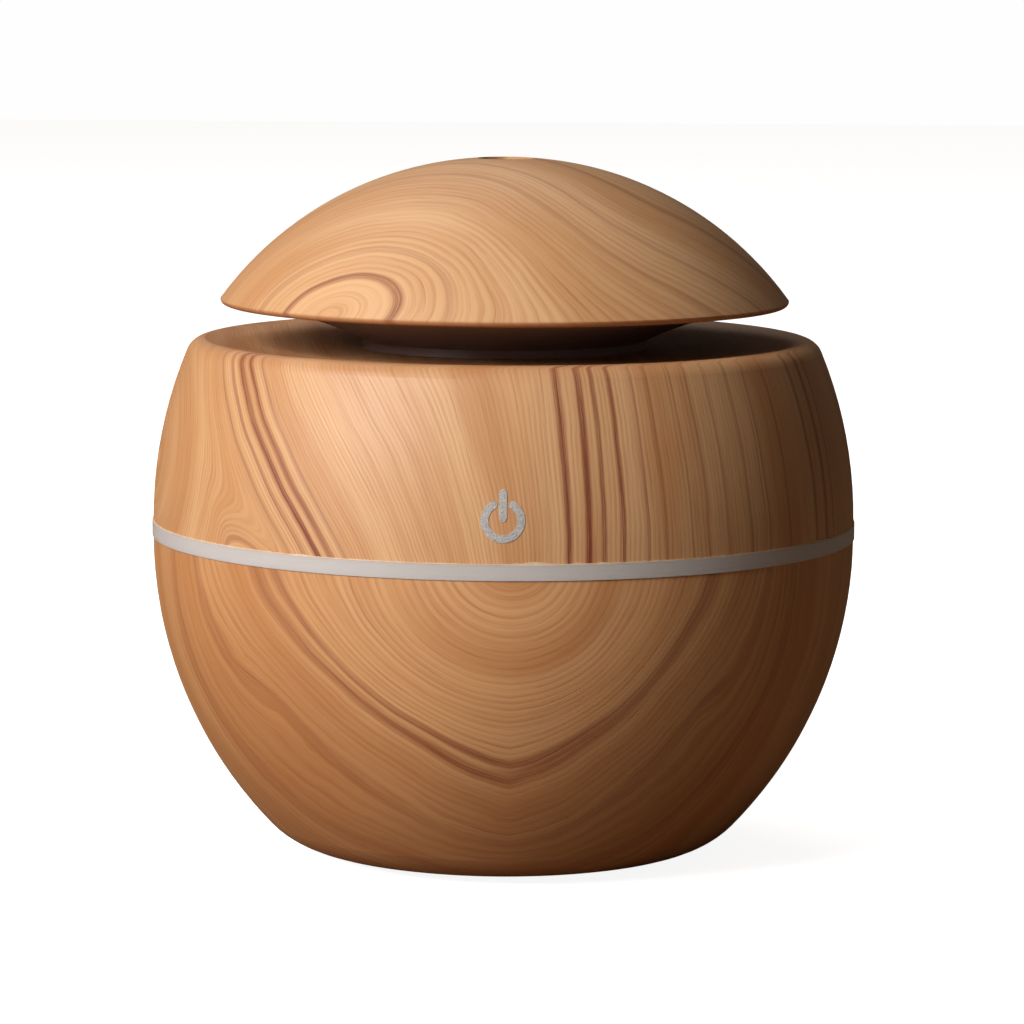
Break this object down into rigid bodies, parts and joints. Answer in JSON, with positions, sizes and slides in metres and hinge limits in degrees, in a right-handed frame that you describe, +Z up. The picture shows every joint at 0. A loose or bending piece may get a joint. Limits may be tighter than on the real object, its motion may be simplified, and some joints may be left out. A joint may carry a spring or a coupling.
{
  "type": "essential oil diffuser",
  "caption": "Round wood-grain ultrasonic mist diffuser: mushroom lid on a dark trumpet neck, translucent light band, touch key, inner tank, fan and boards.",
  "frame": {"origin": "centre of the round footprint, on the surface that the feet stand on", "axes": "+Z up along the ball's axis, -Y to the front through the touch key, +Y out of the power inlet at the back, +X to the right seen from the front"},
  "size_m": [0.1, 0.1, 0.0989],
  "materials": {
    "wood_grain_film": "satin",
    "dark_brown_plastic": "satin",
    "milky_diffuser": "satin",
    "silver_print": "speckled satin",
    "tank_plastic": "semi-gloss",
    "silicone_seal": "matt",
    "foot_rubber": "matt",
    "cover_plastic": "fine texture",
    "black_plastic": "matt",
    "circuit_board": "solder mask",
    "connector_nylon": "matt",
    "screw_steel": "zinc plated",
    "shaft_steel": "ground",
    "bearing_bronze": "sintered",
    "copper_wire": "enamelled",
    "core_ferrite": "sintered",
    "magnet_ferrite": "sintered",
    "atomizer_ceramic": "glazed ceramic with a silvered face",
    "capacitor_can": "sleeved can",
    "lamp_package": "clear",
    "contact_brass": "plated",
    "wire_insulation": "smooth"
  },
  "bodies": {
    "base": {"upper_shell": "wood_grain_film", "power_icon": "silver_print", "light_ring": "milky_diffuser", "lower_shell": "wood_grain_film", "tank_bowl": "tank_plastic", "tank_shoulder": "tank_plastic", "tank_seal": "silicone_seal", "mouth_gasket": "silicone_seal", "tank_screws": "screw_steel", "atomizer_gasket": "silicone_seal", "atomizer_disc": "atomizer_ceramic", "atomizer_retainer": "connector_nylon", "retainer_screws": "screw_steel", "air_duct": "black_plastic", "duct_cap": "tank_plastic", "fan_frame": "black_plastic", "fan_bearing": "bearing_bronze", "fan_stator": "core_ferrite", "stator_coils": "copper_wire", "fan_screws": "screw_steel", "base_cover": "cover_plastic", "rubber_feet": "foot_rubber", "case_screws": "screw_steel", "control_board": "circuit_board", "board_screws": "screw_steel", "drive_choke": "core_ferrite", "choke_winding": "copper_wire", "filter_capacitors": "capacitor_can", "drive_transistor": "black_plastic", "controller_chip": "black_plastic", "wire_connectors": "connector_nylon", "led_board": "circuit_board", "led_lamps": "lamp_package", "led_screws": "screw_steel", "touch_board": "circuit_board", "touch_spring": "shaft_steel", "inlet_sleeve": "black_plastic", "dc_jack": "black_plastic", "jack_pin": "contact_brass", "jack_tags": "contact_brass", "power_lead": "wire_insulation", "fan_lead": "wire_insulation", "atomizer_lead": "wire_insulation", "led_lead": "wire_insulation", "touch_lead": "wire_insulation"},
    "seal_ring": {"lid_seal": "silicone_seal"},
    "lid": {"lid_dome": "wood_grain_film", "lid_neck": "dark_brown_plastic", "mist_tube": "dark_brown_plastic"},
    "fan_wheel": {"fan_rotor": "black_plastic", "rotor_magnet": "magnet_ferrite", "fan_shaft": "shaft_steel"}
  },
  "joints": [
    {"name": "lid_lift", "type": "slide", "parent": "base", "child": "seal_ring", "axis": [0, 0, 1], "range_m": [0, 0.05]},
    {"name": "lid_turn", "type": "hinge", "parent": "seal_ring", "child": "lid", "pos_m": [0, 0, 0.0675], "axis": [0, 0, 1], "continuous": true},
    {"name": "fan_spin", "type": "hinge", "parent": "base", "child": "fan_wheel", "pos_m": [0, 0, 0.008], "axis": [0, 0, 1], "continuous": true}
  ]
}
